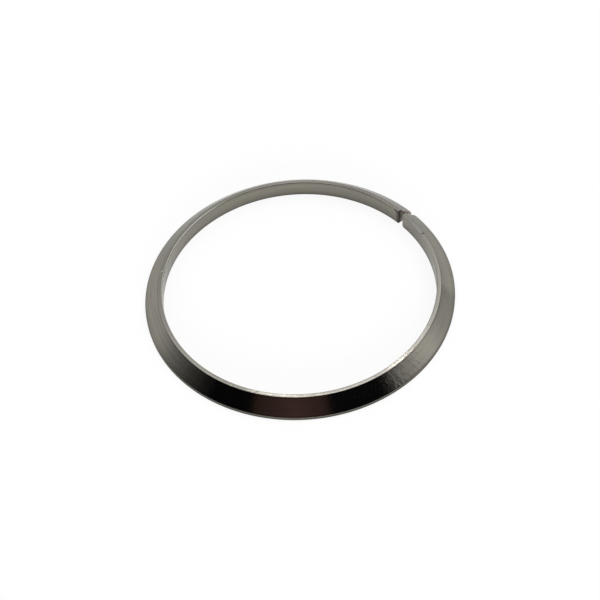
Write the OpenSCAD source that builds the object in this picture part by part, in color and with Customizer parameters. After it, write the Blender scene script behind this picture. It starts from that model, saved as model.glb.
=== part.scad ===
/* Split bearing washer: one ring, turned with a flat top land and a bearing cone down its
   outside, then cut through once so that it can spring over its seat.

   Origin: on the ring's axis, in the flat underside.
   +Z: up the axis, towards the small end of the cone.
   +X: through the middle of the slit. */

/* [Ring] */
// Diameter of the bore, which grips the seat
bore_d = 39.8; // [20:0.1:60]
// Height from the underside to the top land
ring_h = 2.6; // [1.9:0.05:5]
// Angle between the bearing cone and the axis, in degrees
cone_angle = 45; // [36:1:50]

/* [Flats beside the cone] */
// Width of the top land, from the bore to the cone
land_w = 0.6; // [0.45:0.05:2]
// Height of the upright rim under the cone
rim_h = 0.55; // [0.45:0.05:1.4]

/* [Edges] */
// Radius of the round between the top land and the bore
land_edge_r = 0.2; // [0.05:0.01:0.3]
// Radius of the lead-in between the bore and the underside
lead_in_r = 0.08; // [0.04:0.01:0.3]
// Radius of the rounds at both ends of the cone and under the rim
outer_edge_r = 0.12; // [0.05:0.01:0.2]

/* [Slit] */
// Width of the slit, square to its two faces
slit_w = 0.8; // [0.3:0.05:2]
// Width of the chamfer round each face of the slit
face_break = 0.08; // [0.02:0.01:0.15]
// Radius of the roll-over that the shears left under one face
roll_r = 0.6; // [0.2:0.05:1]

/* [Hidden] */
$fn = 180;
bore_r = bore_d / 2;
land_r = bore_r + land_w;
rim_r = land_r + (ring_h - rim_h) * tan(cone_angle);
// Corners of the ring's section, anticlockwise from the foot of the bore, as radius and height
corners = [[bore_r, 0], [rim_r, 0], [rim_r, rim_h], [land_r, ring_h], [bore_r, ring_h]];
// Radius that breaks each of those corners
rounds = [lead_in_r, outer_edge_r, outer_edge_r, outer_edge_r, land_edge_r];
last = len(corners) - 1;
// How far a cutter runs past what it cuts
over = 1;
// How far a chamfer's cutter stands clear of the edge that it breaks
clear = 0.1;

function unit(v) = v / norm(v);
function next(i) = i == last ? 0 : i + 1;
function previous(i) = i == 0 ? last : i - 1;
function towards(i, j) = unit(corners[j] - corners[i]);
function half_angle(i) = acos(towards(i, previous(i)) * towards(i, next(i))) / 2;

// Point where corner i's round leaves the side that runs to corner j
function tangent(i, j) = corners[i] + towards(i, j) * rounds[i] / tan(half_angle(i));

// Centre of corner i's round, on the line that halves the corner
function centre(i) =
    corners[i] + unit(towards(i, previous(i)) + towards(i, next(i))) * rounds[i] / sin(half_angle(i));

// Place of corner i in a face of the slit, which stands half the slit's width off the axis
function in_face(i) = [sqrt(pow(corners[i].x, 2) - pow(slit_w / 2, 2)), corners[i].y];

// Half section of the ring, with its rounds as true arcs
module section() {
    polygon([for (i = [0 : last], j = [previous(i), next(i)]) tangent(i, j)]);
    for (i = [0 : last]) translate(centre(i)) circle(rounds[i]);
}

module slit() {
    translate([0, -slit_w / 2, -over]) cube([rim_r + over, slit_w, ring_h + 2 * over]);
}

// Chamfers round the slit's face at +Y, one along each side of the section
module face_chamfers() {
    for (i = [0 : last]) {
        start = in_face(i);
        side = in_face(next(i)) - start;
        translate([start.x, slit_w / 2, start.y]) rotate([0, atan2(side.x, side.y), 0])
            translate([0, 0, -clear]) linear_extrude(norm(side) + 2 * clear)
                polygon([[-face_break - clear, -clear], [clear, -clear], [clear, face_break + clear]]);
    }
}

// Round under the slit's face at -Y, from the bore to the rim
module roll_over() {
    foot = -slit_w / 2 - roll_r;
    difference() {
        translate([0, foot, -over]) cube([rim_r + over, roll_r + slit_w / 2, roll_r + over]);
        translate([-over, foot, roll_r]) rotate([0, 90, 0]) cylinder(rim_r + 3 * over, r = roll_r);
    }
}

module bearing_washer() {
    color("#86847c") difference() {
        rotate_extrude() section();
        slit();
        for (far = [0, 1]) mirror([0, far, 0]) face_chamfers();
        roll_over();
    }
}

bearing_washer();
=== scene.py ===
# Split bearing washer: a thin ring of plated steel with a cone down its outside, cut through once.
# It lies on a white table under a light tent, with the slit at the back on the right.
import math

import bmesh
import bpy
from mathutils import Matrix, Vector


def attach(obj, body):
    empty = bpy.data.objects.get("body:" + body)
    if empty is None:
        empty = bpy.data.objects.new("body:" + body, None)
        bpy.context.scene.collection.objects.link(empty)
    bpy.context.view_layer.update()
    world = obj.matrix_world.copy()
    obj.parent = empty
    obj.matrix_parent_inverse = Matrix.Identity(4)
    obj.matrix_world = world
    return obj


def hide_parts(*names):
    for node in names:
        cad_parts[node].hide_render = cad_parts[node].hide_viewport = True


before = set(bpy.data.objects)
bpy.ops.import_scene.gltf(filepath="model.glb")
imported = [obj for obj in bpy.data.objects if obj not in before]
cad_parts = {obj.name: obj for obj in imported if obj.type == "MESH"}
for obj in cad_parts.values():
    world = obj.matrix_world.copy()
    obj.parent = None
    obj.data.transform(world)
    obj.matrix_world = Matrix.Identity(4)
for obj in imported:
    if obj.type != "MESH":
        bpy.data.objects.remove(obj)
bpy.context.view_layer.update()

# ---------------------------------------------------------------------------------------------
# The viewpoint: a long lens on a stand, about 50 degrees above the table and a little out of
# level. It stands on the -Y side, turned about the ring's axis until the slit is at the back
# on the right.
MM = 0.001
VIEW_TURN = math.radians(-37.4)
VIEW_RISE = math.radians(50.34)
VIEW_ROLL = math.radians(4.35)
VIEW_DISTANCE = 269.4 * MM
AIM_RIGHT = 0.02 * MM
AIM_DOWN = 0.756 * MM
LENS_LENGTH = 110.9  # in mm, on a sensor 36 mm wide

level = Vector((math.cos(VIEW_TURN), math.sin(VIEW_TURN), 0))
back = Vector(
    (
        math.sin(VIEW_TURN) * math.cos(VIEW_RISE),
        -math.cos(VIEW_TURN) * math.cos(VIEW_RISE),
        math.sin(VIEW_RISE),
    )
)
above = back.cross(level)
lens_right = math.cos(VIEW_ROLL) * level - math.sin(VIEW_ROLL) * above
lens_up = math.sin(VIEW_ROLL) * level + math.cos(VIEW_ROLL) * above

bpy.ops.object.camera_add()
camera = bpy.context.object
camera.name = "camera"
camera.data.sensor_width = 36
camera.data.lens = LENS_LENGTH
camera.data.clip_start = 0.01
camera.data.clip_end = 10
stand = AIM_RIGHT * lens_right - AIM_DOWN * lens_up + VIEW_DISTANCE * back
camera.matrix_world = Matrix.Translation(stand) @ Matrix((lens_right, lens_up, back)).transposed().to_4x4()
bpy.context.scene.camera = camera

bpy.context.scene.view_settings.view_transform = "Standard"


# ---------------------------------------------------------------------------------------------
# The table: a sheet of matt white card. It is shaded a little by what stands on it, and looks
# white to the lens and in the metal.
CARD_WHITE = "f6f6f4"
TABLE_WIDTH = 4  # metres
TABLE_GAP = 0.01 * MM  # keeps the card clear of the washer's underside
SEEN_WHITE = 0.88  # share of the card that the lens sees as plain white, whatever falls on it
METAL_WHITE = 0.12  # the same share for what shines in the metal


def linear(code):
    """An sRGB hex colour as linear RGBA."""
    parts = [int(code[i : i + 2], 16) / 255 for i in (0, 2, 4)]
    return tuple(c / 12.92 if c <= 0.04045 else ((c + 0.055) / 1.055) ** 2.4 for c in parts) + (1,)


def add(tree, kind, links=None, values=None, **settings):
    """Adds a node with its settings, then its values and its links, which name or number its sockets."""
    node = tree.nodes.new(kind)
    for name, value in settings.items():
        setattr(node, name, value)
    for socket, value in (values or {}).items():
        node.inputs[socket].default_value = value
    for socket, source in (links or {}).items():
        tree.links.new(source, node.inputs[socket])
    return node


def new_material(name):
    """A new material with no nodes yet, and its node tree."""
    material = bpy.data.materials.new(name)
    material.use_nodes = True
    material.node_tree.nodes.clear()
    return material, material.node_tree


bpy.ops.object.select_all(action="DESELECT")
bpy.ops.mesh.primitive_plane_add(size=TABLE_WIDTH, location=(0, 0, -TABLE_GAP))
table = bpy.context.object
table.name = "table"
card, tree = new_material("matt_white_card")
rays = add(tree, "ShaderNodeLightPath")
seen = add(
    tree,
    "ShaderNodeMath",
    {0: rays.outputs["Is Camera Ray"], 1: rays.outputs["Is Transmission Ray"]},
    operation="ADD",
)
seen = add(tree, "ShaderNodeMath", {0: seen.outputs[0]}, {1: SEEN_WHITE}, operation="MULTIPLY")
seen = add(
    tree,
    "ShaderNodeMath",
    {0: rays.outputs["Is Glossy Ray"], 2: seen.outputs[0]},
    {1: METAL_WHITE},
    operation="MULTIPLY_ADD",
)
matt = add(tree, "ShaderNodeBsdfDiffuse", values={"Color": linear(CARD_WHITE)})
white = add(tree, "ShaderNodeEmission", values={"Color": (1, 1, 1, 1), "Strength": 1})
both = add(tree, "ShaderNodeMixShader", {0: seen.outputs[0], 1: matt.outputs[0], 2: white.outputs[0]})
add(tree, "ShaderNodeOutputMaterial", {"Surface": both.outputs[0]})
table.data.materials.append(card)

# ---------------------------------------------------------------------------------------------
# The light: a round tent of white cloth lit from outside, with black cloth and a brown board
# pinned up on the lens's side and a brighter panel overhead. The lens looks in through it.
TENT_RADIUS = 1.0  # metres
BLACK = (0.006, 0.005, 0.008)
BROWN = (0.145, 0.080, 0.076)
# Light of the tent's wall, by direction in degrees from the lens round to its right
WALL = [
    (-180, 1.0),
    (-150, 0.84),
    (-117, 0.92),
    (-110, 0.92),
    (-104, 0.73),
    (-96, 0.44),
    (-89, 0.26),
    (-80, 0.11),
    (-70, 0.03),
    (-62, BLACK),
    (-38, BLACK),
    (-34, (0.07, 0.042, 0.032)),
    (-22, (0.100, 0.056, 0.055)),
    (-10, BROWN),
    (10, (0.088, 0.048, 0.044)),
    (16, BLACK),
    (50, (0.010, 0.010, 0.012)),
    (56, 0.10),
    (63, 0.50),
    (72, 0.72),
    (80, 1.10),
    (89, 1.26),
    (97, 1.02),
    (104, 0.84),
    (112, 0.79),
    (124, 0.68),
    (132, 0.80),
    (180, 1.0),
]
# The same for the cloth above the wall
UPPER = [
    (-180, 1.25),
    (-178.4, 1.05),
    (-176.5, 0.88),
    (-169, 0.78),
    (-158, 1.3),
    (-95, 1.3),
    (-75, 0.25),
    (58, 0.25),
    (80, 2.6),
    (158, 2.6),
    (168, 1.05),
    (174, 0.92),
    (176.5, 0.9),
    (178.4, 1.05),
    (180, 1.25),
]
MOST = 4  # brightest light that a ramp can hold
WALL_TOP = (38, 43)  # degrees up over which the wall gives way to the cloth above it
ROOF_FOOT = (64, 70)  # degrees up over which that cloth gives way to the roof
ROOF_LIGHT = 0.9

bpy.ops.object.select_all(action="DESELECT")
bpy.ops.mesh.primitive_uv_sphere_add(segments=64, ring_count=32, radius=TENT_RADIUS)
tent = bpy.context.object
tent.name = "light_tent"
tent.rotation_euler.z = VIEW_TURN
tent.visible_camera = False
cloth, tree = new_material("lit_tent_cloth")
cloth.cycles.emission_sampling = "NONE"
place = add(tree, "ShaderNodeTexCoord")
aim = add(tree, "ShaderNodeVectorMath", {0: place.outputs["Object"]}, operation="NORMALIZE")
side = add(tree, "ShaderNodeSeparateXYZ", {0: aim.outputs[0]})
towards = add(tree, "ShaderNodeMath", {0: side.outputs["Y"]}, {1: -1.0}, operation="MULTIPLY")
turn = add(
    tree,
    "ShaderNodeMath",
    {0: side.outputs["X"], 1: towards.outputs[0]},
    operation="ARCTAN2",
)
turn = add(tree, "ShaderNodeMath", {0: turn.outputs[0]}, {1: 1 / math.tau, 2: 0.5}, operation="MULTIPLY_ADD")
climb = add(
    tree,
    "ShaderNodeMapRange",
    {"Value": side.outputs["Z"]},
    {"From Min": math.sin(math.radians(WALL_TOP[0])), "From Max": math.sin(math.radians(WALL_TOP[1]))},
    interpolation_type="SMOOTHSTEP",
)
bands = []
for lights in (WALL, UPPER):
    ramp = add(tree, "ShaderNodeValToRGB", {0: turn.outputs[0]})
    for degrees, light in lights:
        stops = ramp.color_ramp.elements
        stop = stops.new(degrees / 360 + 0.5) if abs(degrees) < 180 else stops[0 if degrees < 0 else -1]
        light = light if isinstance(light, tuple) else (light,) * 3
        stop.color = tuple(c / MOST for c in light) + (1,)
    bands.append(ramp.outputs["Color"])
walls = add(
    tree,
    "ShaderNodeMix",
    {0: climb.outputs[0], 6: bands[0], 7: bands[1]},
    data_type="RGBA",
)
walls = add(tree, "ShaderNodeVectorMath", {0: walls.outputs[2]}, {"Scale": MOST}, operation="SCALE")
rise = add(
    tree,
    "ShaderNodeMapRange",
    {"Value": side.outputs["Z"]},
    {"From Min": math.sin(math.radians(ROOF_FOOT[0])), "From Max": math.sin(math.radians(ROOF_FOOT[1]))},
    interpolation_type="SMOOTHSTEP",
)
roofed = add(
    tree,
    "ShaderNodeMix",
    {0: rise.outputs[0], 6: walls.outputs[0]},
    {7: (ROOF_LIGHT, ROOF_LIGHT, ROOF_LIGHT, 1)},
    data_type="RGBA",
)
# The panel hangs under the back of the roof, and its far edge is a bright strip that runs askew.
# Places here are as on a flat ceiling one unit up: across to the right and along to the back.
# Of two numbers, the first is where the light starts and the second is where it is full.
PANEL_LIGHT = 1.7
PANEL_FRONT = 0.5
PANEL_HALF_LENGTH = (0.4, 0.25)
PANEL_HAZE = (-0.16, -0.02)  # its light fades out beyond the strip
STRIP_LIGHT = (4.7, 4.606, 4.606)  # a touch warm
STRIP_LEAN = 0.322  # how much farther back the strip is for each unit to the right
STRIP_BACK = 0.7262
STRIP_HALF_WIDTH = (0.014, 0.005)
across = add(tree, "ShaderNodeMath", {0: side.outputs["X"], 1: side.outputs["Z"]}, operation="DIVIDE")
along = add(tree, "ShaderNodeMath", {0: side.outputs["Y"], 1: side.outputs["Z"]}, operation="DIVIDE")
middle = add(
    tree,
    "ShaderNodeMath",
    {0: across.outputs[0]},
    {1: STRIP_LEAN, 2: STRIP_BACK},
    operation="MULTIPLY_ADD",
)
depth = add(tree, "ShaderNodeMath", {0: middle.outputs[0], 1: along.outputs[0]}, operation="SUBTRACT")
off = add(tree, "ShaderNodeMath", {0: depth.outputs[0]}, operation="ABSOLUTE")
strip = add(
    tree,
    "ShaderNodeMapRange",
    {"Value": off.outputs[0]},
    {"From Min": STRIP_HALF_WIDTH[0], "From Max": STRIP_HALF_WIDTH[1]},
    interpolation_type="SMOOTHSTEP",
)
bright = add(
    tree,
    "ShaderNodeMapRange",
    {"Value": depth.outputs[0]},
    {"From Min": PANEL_HAZE[0], "From Max": PANEL_HAZE[1]},
)
spread = add(tree, "ShaderNodeMath", {0: across.outputs[0]}, operation="ABSOLUTE")
ends = add(
    tree,
    "ShaderNodeMapRange",
    {"Value": spread.outputs[0]},
    {"From Min": PANEL_HALF_LENGTH[0], "From Max": PANEL_HALF_LENGTH[1]},
    interpolation_type="SMOOTHSTEP",
)
back_side = add(tree, "ShaderNodeMath", {0: along.outputs[0]}, {1: PANEL_FRONT}, operation="GREATER_THAN")
ends = add(tree, "ShaderNodeMath", {0: ends.outputs[0], 1: back_side.outputs[0]}, operation="MULTIPLY")
bright = add(tree, "ShaderNodeMath", {0: bright.outputs[0], 1: ends.outputs[0]}, operation="MULTIPLY")
strip = add(tree, "ShaderNodeMath", {0: strip.outputs[0], 1: ends.outputs[0]}, operation="MULTIPLY")
lit = add(
    tree,
    "ShaderNodeMix",
    {0: bright.outputs[0], 6: roofed.outputs[2]},
    {7: (PANEL_LIGHT, PANEL_LIGHT, PANEL_LIGHT, 1)},
    data_type="RGBA",
)
# A dark seam of the cloth runs just beyond the strip, on the left
SEAM_BEYOND = 0.031
SEAM_HALF_WIDTH = (0.018, 0.006)
SEAM_RIGHT_END = -0.037
SEAM_LIGHT = 0.3
SEAM_SHARE = 0.5  # how much of the light it takes over
aside = add(tree, "ShaderNodeMath", {0: depth.outputs[0]}, {1: SEAM_BEYOND}, operation="ADD")
aside = add(tree, "ShaderNodeMath", {0: aside.outputs[0]}, operation="ABSOLUTE")
seam = add(
    tree,
    "ShaderNodeMapRange",
    {"Value": aside.outputs[0]},
    {"From Min": SEAM_HALF_WIDTH[0], "From Max": SEAM_HALF_WIDTH[1], "To Max": SEAM_SHARE},
    interpolation_type="SMOOTHSTEP",
)
left = add(tree, "ShaderNodeMath", {0: across.outputs[0]}, {1: SEAM_RIGHT_END}, operation="LESS_THAN")
seam = add(tree, "ShaderNodeMath", {0: seam.outputs[0], 1: left.outputs[0]}, operation="MULTIPLY")
seam = add(tree, "ShaderNodeMath", {0: seam.outputs[0], 1: ends.outputs[0]}, operation="MULTIPLY")
lit = add(
    tree,
    "ShaderNodeMix",
    {0: seam.outputs[0], 6: lit.outputs[2]},
    {7: (SEAM_LIGHT, SEAM_LIGHT, SEAM_LIGHT, 1)},
    data_type="RGBA",
)
# The strip's light is uneven along it: how far it is to the right, and its share of the light
STRIP_SHARES = [
    (-0.05, 1),
    (-0.034, 1.5),
    (-0.02, 1.5),
    (-0.01, 1),
    (0.02, 0.8),
    (0.058, 0.65),
    (0.064, 0.5),
    (0.071, 1.5),
    (0.079, 2.9),
    (0.086, 0.65),
]
STRIP_ENDS = (-0.1, 0.15)
run = add(
    tree,
    "ShaderNodeMapRange",
    {"Value": across.outputs[0]},
    {"From Min": STRIP_ENDS[0], "From Max": STRIP_ENDS[1]},
)
power = add(tree, "ShaderNodeValToRGB", {0: run.outputs[0]})
for stop in power.color_ramp.elements:
    stop.color = (1 / MOST,) * 3 + (1,)
for right, share in STRIP_SHARES:
    stop = power.color_ramp.elements.new((right - STRIP_ENDS[0]) / (STRIP_ENDS[1] - STRIP_ENDS[0]))
    stop.color = (share / MOST,) * 3 + (1,)
strip_light = add(
    tree,
    "ShaderNodeVectorMath",
    {0: power.outputs["Color"]},
    {1: tuple(c * MOST for c in STRIP_LIGHT)},
    operation="MULTIPLY",
)
lit = add(
    tree,
    "ShaderNodeMix",
    {0: strip.outputs[0], 6: lit.outputs[2], 7: strip_light.outputs[0]},
    data_type="RGBA",
)
glow = add(tree, "ShaderNodeEmission", {"Color": lit.outputs[2]}, {"Strength": 1})
add(tree, "ShaderNodeOutputMaterial", {"Surface": glow.outputs[0]})
tent.data.materials.append(cloth)

# A long lamp low on the lens's side, which lights the table. It doesn't shine in the metal.
LAMP_RISE = math.radians(17)
LAMP_REACH = 0.9 * TENT_RADIUS
LAMP_LENGTH = 1.2  # metres
LAMP_WIDTH = 0.25
LAMP_WATTS = 11
lamp_spot = Vector((math.sin(VIEW_TURN), -math.cos(VIEW_TURN), math.tan(LAMP_RISE))).normalized()
bpy.ops.object.light_add(type="AREA", location=lamp_spot * LAMP_REACH)
lamp = bpy.context.object
lamp.name = "low_lamp"
lamp.data.shape = "RECTANGLE"
lamp.data.size = LAMP_LENGTH
lamp.data.size_y = LAMP_WIDTH
lamp.data.energy = LAMP_WATTS
lamp.rotation_euler = lamp_spot.to_track_quat("Z", "Y").to_euler()
lamp.visible_camera = False
lamp.visible_glossy = False

# The room round the tent, plain white. Only the lens sees it, past the edge of the table
world = bpy.data.worlds.new("pale_room")
bpy.context.scene.world = world
world.use_nodes = True
world.node_tree.nodes["Background"].inputs["Color"].default_value = (1, 1, 1, 1)
world.node_tree.nodes["Background"].inputs["Strength"].default_value = 1

# ---------------------------------------------------------------------------------------------
# The washer: spring steel, turned on a lathe with a flat top land and a 45 degree cone, then
# plated. Its edges are broken by small rounds. It is modelled in millimetres and brought to
# metres at the end.
BORE_R = 19.9
RIM_R = 22.548  # a hair inside the solid's rim
HEIGHT = 2.6
CONE = 2.05  # width and drop of the cone, between the land and the rim
LAND_EDGE_R = 0.15  # round between the land and the bore
CONE_TOP_R = 0.06  # round between the land and the cone
CONE_FOOT_R = 0.216  # round between the cone and the rim
RIM_FOOT_R = 0.12
LEAD_IN_R = 0.08
BLUNT_REACH = math.tan(math.radians(22.5))  # reach of a round of radius 1 at a corner of 135 degrees
STEPS = 720
ROUND_STEPS = 6


def choose(parts, test):
    """Selects, in edit mode, the vertices, edges or faces whose middle and normal pass the test."""
    bpy.ops.mesh.select_all(action="DESELECT")
    bpy.ops.mesh.select_mode(type={"verts": "VERT", "edges": "EDGE", "faces": "FACE"}[parts])
    mesh = bmesh.from_edit_mesh(bpy.context.object.data)
    mesh.normal_update()
    for part in getattr(mesh, parts):
        middle = part.co if parts == "verts" else sum((v.co for v in part.verts), Vector()) / len(part.verts)
        normal = part.normal if parts == "faces" else Vector((0, 0, 1))
        if test(middle, normal):
            part.select_set(True)
    mesh.select_flush_mode()
    bmesh.update_edit_mesh(bpy.context.object.data)


def break_corner(radius, height, reach, steps):
    """Bevels the corner of the section that lies at this radius and height."""
    choose("verts", lambda p, n: abs(p.x - radius) < 0.01 and abs(p.z - height) < 0.01)
    bpy.ops.mesh.bevel(offset=reach, offset_type="OFFSET", segments=steps, profile=0.5, affect="VERTICES")


bpy.ops.object.select_all(action="DESELECT")
bpy.ops.mesh.primitive_plane_add(size=1)
washer = bpy.context.object
washer.name = "bearing_washer_ring"
washer.data.name = "bearing_washer_ring"
bpy.ops.object.mode_set(mode="EDIT")
bpy.ops.transform.resize(value=(RIM_R - BORE_R, HEIGHT, 1))
bpy.ops.transform.rotate(value=math.pi / 2, orient_axis="X", center_override=(0, 0, 0))
bpy.ops.transform.translate(value=((RIM_R + BORE_R) / 2, 0, HEIGHT / 2))
break_corner(RIM_R, HEIGHT, CONE, 1)
break_corner(RIM_R, HEIGHT - CONE, CONE_FOOT_R * BLUNT_REACH, ROUND_STEPS)
break_corner(RIM_R - CONE, HEIGHT, CONE_TOP_R * BLUNT_REACH, ROUND_STEPS)
break_corner(BORE_R, HEIGHT, LAND_EDGE_R, ROUND_STEPS)
break_corner(BORE_R, 0, LEAD_IN_R, ROUND_STEPS)
break_corner(RIM_R, 0, RIM_FOOT_R, ROUND_STEPS)
bpy.ops.mesh.select_all(action="SELECT")
bpy.ops.mesh.delete(type="ONLY_FACE")
bpy.ops.mesh.select_all(action="SELECT")
bpy.ops.mesh.spin(steps=STEPS, angle=math.tau, center=(0, 0, 0), axis=(0, 0, 1))
bpy.ops.mesh.select_all(action="SELECT")
bpy.ops.mesh.remove_doubles(threshold=0.0005)
bpy.ops.mesh.normals_make_consistent(inside=False)

# The slit: one parallel cut across the ring about +X, with a small chamfer all round each face.
# A rough gap is opened first, and each end is then cut back to its face.
SLIT = 0.8
FACE_BREAK = 0.08
ROUGH_GAP = 0.6
CUT_REACH = 3  # how far to each side of the slit the cutter works
choose("faces", lambda p, n: p.x > 0 and abs(p.y) < ROUGH_GAP / 2)
bpy.ops.mesh.delete(type="FACE")
for hand in (1, -1):
    cut = hand * (SLIT / 2 + FACE_BREAK)
    choose("faces", lambda p, n: p.x > 0 and 0 < p.y * hand < CUT_REACH)
    bpy.ops.mesh.bisect(
        plane_co=(0, cut, 0), plane_no=(0, hand, 0), use_fill=True, clear_inner=True, threshold=0.0001
    )
    choose("faces", lambda p, n: p.x > 0 and abs(p.y - cut) < 0.001 and abs(n.y) > 0.9)
    bpy.ops.mesh.inset(thickness=FACE_BREAK, depth=FACE_BREAK, use_even_offset=True)
bpy.ops.mesh.select_all(action="SELECT")
bpy.ops.mesh.remove_doubles(threshold=0.002)

# The shears dragged the metal over under one face, which leaves a round from bore to rim.
ROLL_R = 0.6
ROLL_STEPS = 10
ROLL_REACH = 4  # how far from the slit the cutter works here
for step in range(ROLL_STEPS):
    tilt = math.pi / 2 * (step + 0.5) / ROLL_STEPS
    facing = Vector((0, math.cos(tilt), -math.sin(tilt)))
    touch = Vector((0, -SLIT / 2 - ROLL_R, ROLL_R)) + ROLL_R * facing
    choose("faces", lambda p, n: p.x > 0 and -ROLL_REACH < p.y < 0)
    bpy.ops.mesh.bisect(plane_co=touch, plane_no=facing, use_fill=True, clear_outer=True, threshold=0.0001)
bpy.ops.mesh.select_all(action="SELECT")
bpy.ops.mesh.remove_doubles(threshold=0.0005)
bpy.ops.mesh.normals_make_consistent(inside=False)

# Knocks from handling: small dents across the land, in the rim's upper edge and down the cone.
# More points are laid across the land and down the cone for them first, clear of the slit: from
# one radius to another, in so many rows.
POINTS_FROM = 1.2  # the height above which they are laid, clear of the underside
for inner, outer, cuts in ((20.2, 20.4, 1), (21.3, 21.7, 9)):
    choose(
        "edges",
        lambda p, n: p.z > POINTS_FROM
        and inner < p.xy.length < outer
        and (p.x < 0 or abs(p.y) > CUT_REACH),
    )
    bpy.ops.mesh.subdivide(number_cuts=cuts)
DARK_DENT = -14.8  # bearing in degrees of the one that holds the dark patch
DENT_HALF_LENGTH = 0.1  # along the ring
# Each dent's bearing in degrees, its radius from and to, the height that it starts at, and how
# deep it is
for bearing, inner, outer, low, sink in (
    (DARK_DENT, 20.05, 20.48, 2.55, 0.06),
    (130.7, 19.95, 20.4, 2.5, 0.08),
    (175.1, 20.4, 20.5, 2.5, 0.04),
    (190.7, 20.4, 20.5, 2.5, 0.04),
    (201.7, 20.4, 20.5, 2.5, 0.04),
    (231.3, 22.45, 22.6, 0.45, 0.09),
    (234.9, 22.45, 22.6, 0.45, 0.07),
    (237.3, 22.45, 22.6, 0.45, 0.09),
    (233.7, 21.5, 21.7, 1.3, 0.02),
    (218.2, 21.1, 21.3, 1.7, 0.02),
):
    way = Vector((math.cos(math.radians(bearing)), math.sin(math.radians(bearing)), 0))
    choose(
        "verts",
        lambda p, n: p.z > low
        and inner < p.dot(way) < outer
        and (p - p.dot(way) * way).xy.length < DENT_HALF_LENGTH,
    )
    bpy.ops.transform.translate(value=(0, 0, -sink))

# Smooth shading, with the flats shaded flat right up to the rounds beside them: the land and the
# underside, the wall and the rim, the cone at 45 degrees, and the faces of the slit
bpy.ops.object.mode_set(mode="OBJECT")
bpy.ops.object.shade_smooth_by_angle(angle=math.radians(30))
bpy.ops.object.mode_set(mode="EDIT")
choose(
    "faces",
    lambda p, n: max(abs(n.z), abs(n.xy @ p.xy.normalized()), (n.z + n.xy @ p.xy.normalized()) / math.sqrt(2))
    > 0.9999
    or (p.x > 0 and abs(p.y) < SLIT / 2 + 0.001),
)
bpy.ops.mesh.set_normals_from_faces(keep_sharp=True)
bpy.ops.mesh.select_all(action="SELECT")
bpy.ops.transform.resize(value=(MM, MM, MM), center_override=(0, 0, 0))
bpy.ops.object.mode_set(mode="OBJECT")

# The plating: thin bright nickel over what the lathe tool left. Its marks run round the ring, so
# what it mirrors is smeared across them and stays sharp along them. The tool chattered a little,
# which left faint ripples down the cone, and the nickel has a slightly uneven warm tone.
# In each finish, graze is how bright it is when seen edge on. The waves are the tool's marks, each
# with its length along the ring, its width across it and its height, in mm, and chatter is how
# many times as high they are where the tool chattered. The painted shades are shade painted into
# the colour: each darkens it at a radius or a height, in mm.
FINISHES = [
    # The cone: a satin mirror with streaks and ripples, with shade painted into its colour in a thin
    # line beside the land and beside the rim
    {
        "name": "turned_nickel_plated_cone",
        "tones": ("8c8a7f", "827e78"),
        "roughness": (0.08, 0.11),
        "graze": 0.68,
        "waves": ((0.6, 0.8, 0.011), (12, 0.1, 0.0011)),
        "chatter": 3.6,
        "shaded_by": "radius",
        "shaded_over": (20.5, 22.5),
        "painted_shades": ((20.60, 0.72), (20.72, 1), (22.30, 1), (22.40, 0.85), (22.48, 0.6)),
    },
    # The land: faced fine, the sharpest mirror of the three, with small sparkles in it. It has a
    # little shade painted into its colour over the round beside the bore
    {
        "name": "faced_nickel_plated_land",
        "tones": ("8a897f", "898581"),
        "roughness": (0.04, 0.07),
        "graze": 0.9,
        "waves": ((1.6, 0.6, 0.0044), (0.3, 0.3, 0.0008)),
        "chatter": 1.2,
        "shaded_by": "radius",
        "shaded_over": (19.9, 20.6),
        "painted_shades": ((20.04, 1), (20.1, 0.9), (20.18, 0.88), (20.25, 1)),
    },
    # The bore's wall: the softest sheen, a little mottled, with shade painted into its colour down to
    # the foot and in a line under the land
    {
        "name": "bored_nickel_plated_wall",
        "tones": ("8e8e80", "8b8681"),
        "roughness": (0.10, 0.16),
        "graze": 1.0,
        "waves": ((0.45, 0.5, 0.0088), (12, 0.1, 0.0011)),
        "chatter": 1,
        "shaded_by": "height",
        "shaded_over": (0, 2.6),
        "painted_shades": ((0.1, 0.66), (0.35, 0.85), (0.9, 1), (2.15, 1), (2.3, 0.82), (2.42, 0.82), (2.47, 1)),
    },
]
CHATTER_AT = math.radians(95)  # its middle, anticlockwise from the point opposite the slit
CHATTER_HALF = (0.3, 0.12)  # half its length in radians, where it starts and where it is full
STREAK = (8 * MM, 0.4 * MM)  # length and width of the streaks in the nickel's tone
# A dark band painted on the end of the wall beside one face of the slit
DARK_BAND = (0.72, 0.9)  # how far from the slit's middle the dark band beside it is full and is over, in mm
DARK_BAND_LEAN = 0.5  # how much farther it goes under the land, in mm
DARK_BAND_RISE = 6.0  # how suddenly it does so, as a power of the height
DARK_BAND_SHADE = 0.36
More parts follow.
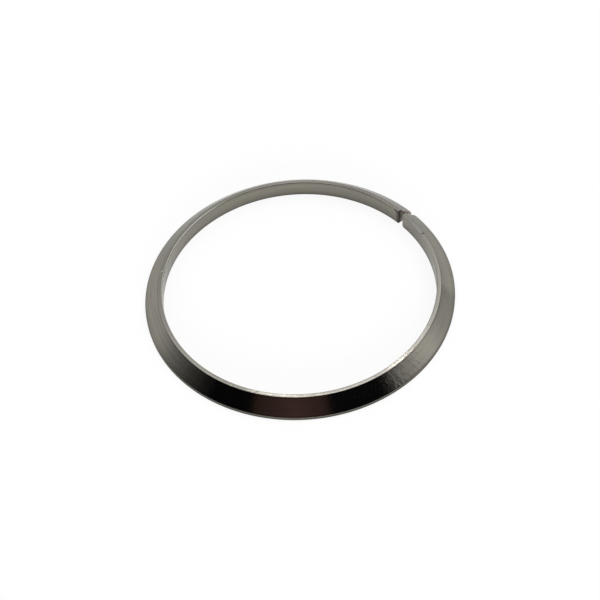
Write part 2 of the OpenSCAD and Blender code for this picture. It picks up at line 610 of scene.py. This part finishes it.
for finish in FINISHES:
    low, high = finish["shaded_over"]
    painted_shades = finish["painted_shades"]
    plated, tree = new_material(finish["name"])
    place = add(tree, "ShaderNodeTexCoord")
    spot = add(tree, "ShaderNodeSeparateXYZ", {0: place.outputs["Object"]})
    flat = add(
        tree,
        "ShaderNodeVectorMath",
        {0: place.outputs["Object"]},
        {1: (1, 1, 0)},
        operation="MULTIPLY",
    )
    radius = add(tree, "ShaderNodeVectorMath", {0: flat.outputs[0]}, operation="LENGTH")
    # The bearing round the ring goes from half a turn back to half a turn on, and both ends of it
    # are in the slit, where they don't have to meet
    turned = add(tree, "ShaderNodeVectorMath", {0: flat.outputs[0]}, {"Scale": -1.0}, operation="SCALE")
    turned = add(tree, "ShaderNodeSeparateXYZ", {0: turned.outputs[0]})
    bearing = add(
        tree,
        "ShaderNodeMath",
        {0: turned.outputs["Y"], 1: turned.outputs["X"]},
        operation="ARCTAN2",
    )
    length = add(tree, "ShaderNodeMath", {0: bearing.outputs[0]}, {1: BORE_R * MM}, operation="MULTIPLY")
    laid = add(
        tree,
        "ShaderNodeCombineXYZ",
        {"X": length.outputs[0], "Y": radius.outputs["Value"], "Z": spot.outputs["Z"]},
    )
    # The tool chattered more along one stretch, at the front on the right
    stretch = add(tree, "ShaderNodeMath", {0: bearing.outputs[0]}, {1: CHATTER_AT}, operation="SUBTRACT")
    stretch = add(tree, "ShaderNodeMath", {0: stretch.outputs[0]}, operation="ABSOLUTE")
    stretch = add(
        tree,
        "ShaderNodeMapRange",
        {"Value": stretch.outputs[0]},
        {"From Min": CHATTER_HALF[0], "From Max": CHATTER_HALF[1], "To Min": 1, "To Max": finish["chatter"]},
        interpolation_type="SMOOTHSTEP",
    )
    bump = None
    for along, across, height in finish["waves"]:
        scale = (1 / (along * MM), 1 / (across * MM), 1 / (across * MM))
        drawn = add(tree, "ShaderNodeVectorMath", {0: laid.outputs[0]}, {1: scale}, operation="MULTIPLY")
        noise = add(
            tree,
            "ShaderNodeTexNoise",
            {"Vector": drawn.outputs[0]},
            {"Scale": 1, "Detail": 3, "Roughness": 0.6},
        )
        wave = add(
            tree,
            "ShaderNodeMath",
            {0: noise.outputs["Fac"], 1: stretch.outputs[0]},
            operation="MULTIPLY",
        )
        bump = add(
            tree,
            "ShaderNodeBump",
            {"Height": wave.outputs[0]} | ({"Normal": bump.outputs[0]} if bump else {}),
            {"Strength": 1, "Distance": height * MM},
        )
    # The tone changes in faint streaks that follow the tool. Most of the noise lies near its middle,
    # so that part of it is stretched from one tone to the other
    scale = (1 / STREAK[0], 1 / STREAK[1], 1 / STREAK[1])
    drawn = add(tree, "ShaderNodeVectorMath", {0: laid.outputs[0]}, {1: scale}, operation="MULTIPLY")
    cloud = add(tree, "ShaderNodeTexNoise", {"Vector": drawn.outputs[0]}, {"Scale": 1, "Detail": 3})
    patch = add(
        tree,
        "ShaderNodeMapRange",
        {"Value": cloud.outputs["Fac"]},
        {"From Min": 0.35, "From Max": 0.65},
    )
    colour = add(
        tree,
        "ShaderNodeMix",
        {0: patch.outputs[0]},
        {6: linear(finish["tones"][0]), 7: linear(finish["tones"][1])},
        data_type="RGBA",
    )
    reach = add(
        tree,
        "ShaderNodeMapRange",
        {"Value": radius.outputs["Value"] if finish["shaded_by"] == "radius" else spot.outputs["Z"]},
        {"From Min": low * MM, "From Max": high * MM},
    )
    # Painted shade: a ramp darkens the colour at the radius or height given in the finish
    shaded = add(tree, "ShaderNodeValToRGB", {0: reach.outputs[0]})
    shaded.color_ramp.elements[0].color = (painted_shades[0][1],) * 3 + (1,)
    shaded.color_ramp.elements[1].color = (painted_shades[-1][1],) * 3 + (1,)
    for at, shade in painted_shades:
        shaded.color_ramp.elements.new((at - low) / (high - low)).color = (shade, shade, shade, 1)
    # A dark band is painted on the end of the wall beside one face of the slit, farthest up under the land
    lean = add(tree, "ShaderNodeMath", {0: spot.outputs["Z"]}, {1: 1 / (HEIGHT * MM)}, operation="MULTIPLY")
    lean = add(tree, "ShaderNodeMath", {0: lean.outputs[0]}, {1: DARK_BAND_RISE}, operation="POWER")
    lean = add(
        tree,
        "ShaderNodeMath",
        {0: lean.outputs[0], 2: length.outputs[0]},
        {1: -DARK_BAND_LEAN * MM},
        operation="MULTIPLY_ADD",
    )
    dark_band = add(
        tree,
        "ShaderNodeMapRange",
        {"Value": lean.outputs[0]},
        {
            "From Min": (DARK_BAND[0] - math.pi * BORE_R) * MM,
            "From Max": (DARK_BAND[1] - math.pi * BORE_R) * MM,
            "To Min": DARK_BAND_SHADE if finish["shaded_by"] == "height" else 1,
        },
    )
    darkened = add(
        tree,
        "ShaderNodeMath",
        {0: shaded.outputs["Color"], 1: dark_band.outputs[0]},
        operation="MULTIPLY",
    )
    colour = add(
        tree,
        "ShaderNodeVectorMath",
        {0: colour.outputs[2], "Scale": darkened.outputs[0]},
        operation="SCALE",
    )
    gloss = add(
        tree,
        "ShaderNodeMapRange",
        {"Value": noise.outputs["Fac"]},
        {
            "From Min": 0.3,
            "From Max": 0.7,
            "To Min": finish["roughness"][0],
            "To Max": finish["roughness"][1],
        },
    )
    # The tangent runs round the ring, and a quarter turn smears the gloss across the tool's marks
    tangent = add(tree, "ShaderNodeTangent", direction_type="RADIAL", axis="Z")
    metal = add(
        tree,
        "ShaderNodeBsdfPrincipled",
        {
            "Base Color": colour.outputs[0],
            "Roughness": gloss.outputs[0],
            "Normal": bump.outputs[0],
            "Tangent": tangent.outputs[0],
        },
        {
            "Metallic": 1,
            "Anisotropic": 0.5,
            "Anisotropic Rotation": 0.25,
            "Specular Tint": (finish["graze"],) * 3 + (1,),
        },
    )
    add(tree, "ShaderNodeOutputMaterial", {"Surface": metal.outputs[0]})
    washer.data.materials.append(plated)

# The shears left the faces of the slit bare: dull brown-grey steel, torn into a coarse grain. It
# is painted darkest beside the bore and at the top under the land.
GRAIN = 0.3 * MM
GRAIN_DEPTH = 0.03 * MM
FACE_DARK_SHADE = 0.3
FACE_DARK_FROM_BORE = (0.26, 0.46)  # in mm: how far out it is darkest, and where that is over
FACE_DARK_FROM_LAND = (0.16, 0.3)  # the same downwards
torn, tree = new_material("sheared_spring_steel")
place = add(tree, "ShaderNodeTexCoord")
spot = add(tree, "ShaderNodeSeparateXYZ", {0: place.outputs["Object"]})
grain = add(
    tree,
    "ShaderNodeTexNoise",
    {"Vector": place.outputs["Object"]},
    {"Scale": 1 / GRAIN, "Detail": 4},
)
colour = add(
    tree,
    "ShaderNodeMix",
    {0: grain.outputs["Fac"]},
    {6: linear("989089"), 7: linear("b4aba4")},
    data_type="RGBA",
)
# Painted darker beside the bore and at the top under the land
face_dark = [
    add(
        tree,
        "ShaderNodeMapRange",
        {"Value": spot.outputs[axis]},
        {"From Min": start * MM, "From Max": end * MM, "To Min": FACE_DARK_SHADE},
        interpolation_type="SMOOTHSTEP",
    )
    for axis, start, end in (
        ("X", BORE_R + FACE_DARK_FROM_BORE[0], BORE_R + FACE_DARK_FROM_BORE[1]),
        ("Z", HEIGHT - FACE_DARK_FROM_LAND[0], HEIGHT - FACE_DARK_FROM_LAND[1]),
    )
]
darkened = add(
    tree,
    "ShaderNodeMath",
    {0: face_dark[0].outputs[0], 1: face_dark[1].outputs[0]},
    operation="MULTIPLY",
)
colour = add(
    tree,
    "ShaderNodeVectorMath",
    {0: colour.outputs[2], "Scale": darkened.outputs[0]},
    operation="SCALE",
)
bump = add(tree, "ShaderNodeBump", {"Height": grain.outputs["Fac"]}, {"Strength": 1, "Distance": GRAIN_DEPTH})
metal = add(
    tree,
    "ShaderNodeBsdfPrincipled",
    {"Base Color": colour.outputs[0], "Normal": bump.outputs[0]},
    {"Metallic": 1, "Roughness": 0.5},
)
add(tree, "ShaderNodeOutputMaterial", {"Surface": metal.outputs[0]})
washer.data.materials.append(torn)

# A dark patch in one dent of the land: dark and dull, with a fine speckled grain
DARK_PATCH_R = 20.3
DARK_PATCH_WIDTH = 0.3
SPECKLE = 0.1 * MM
SPECKLE_DEPTH = 0.03 * MM
dark_patch, tree = new_material("settled_grime")
place = add(tree, "ShaderNodeTexCoord")
speckle = add(
    tree,
    "ShaderNodeTexNoise",
    {"Vector": place.outputs["Object"]},
    {"Scale": 1 / SPECKLE, "Detail": 3},
)
colour = add(
    tree,
    "ShaderNodeMix",
    {0: speckle.outputs["Fac"]},
    {6: linear("45423a"), 7: linear("605c51")},
    data_type="RGBA",
)
bump = add(tree, "ShaderNodeBump", {"Height": speckle.outputs["Fac"]}, {"Strength": 1, "Distance": SPECKLE_DEPTH})
dull = add(
    tree,
    "ShaderNodeBsdfPrincipled",
    {"Base Color": colour.outputs[2], "Normal": bump.outputs[0]},
    {"Roughness": 0.8},
)
add(tree, "ShaderNodeOutputMaterial", {"Surface": dull.outputs[0]})
washer.data.materials.append(dark_patch)

dark_patch_way = Vector((math.cos(math.radians(DARK_DENT)), math.sin(math.radians(DARK_DENT))))

# Where each finish lies: the cone's is all over the ring until the others are laid on
bpy.ops.object.mode_set(mode="EDIT")
for name, test in (
    ("faced_nickel_plated_land", lambda p, n: n.z > 0.9 and p.xy.length < (RIM_R - CONE + 0.05) * MM),
    ("bored_nickel_plated_wall", lambda p, n: n.xy @ p.xy.normalized() < -0.35),
    (
        "settled_grime",
        lambda p, n: p.z > (HEIGHT - 0.1) * MM
        and (p.xy - DARK_PATCH_R * MM * dark_patch_way).length < DARK_PATCH_WIDTH / 2 * MM,
    ),
    (
        "sheared_spring_steel",
        lambda p, n: p.x > 0 and abs(p.y) < (SLIT / 2 + FACE_BREAK) * MM and abs(n.y) > 0.6,
    ),
):
    choose("faces", test)
    washer.active_material_index = washer.data.materials.find(name)
    bpy.ops.object.material_slot_assign()
bpy.ops.object.mode_set(mode="OBJECT")
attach(washer, "root")
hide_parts("bearing_washer")
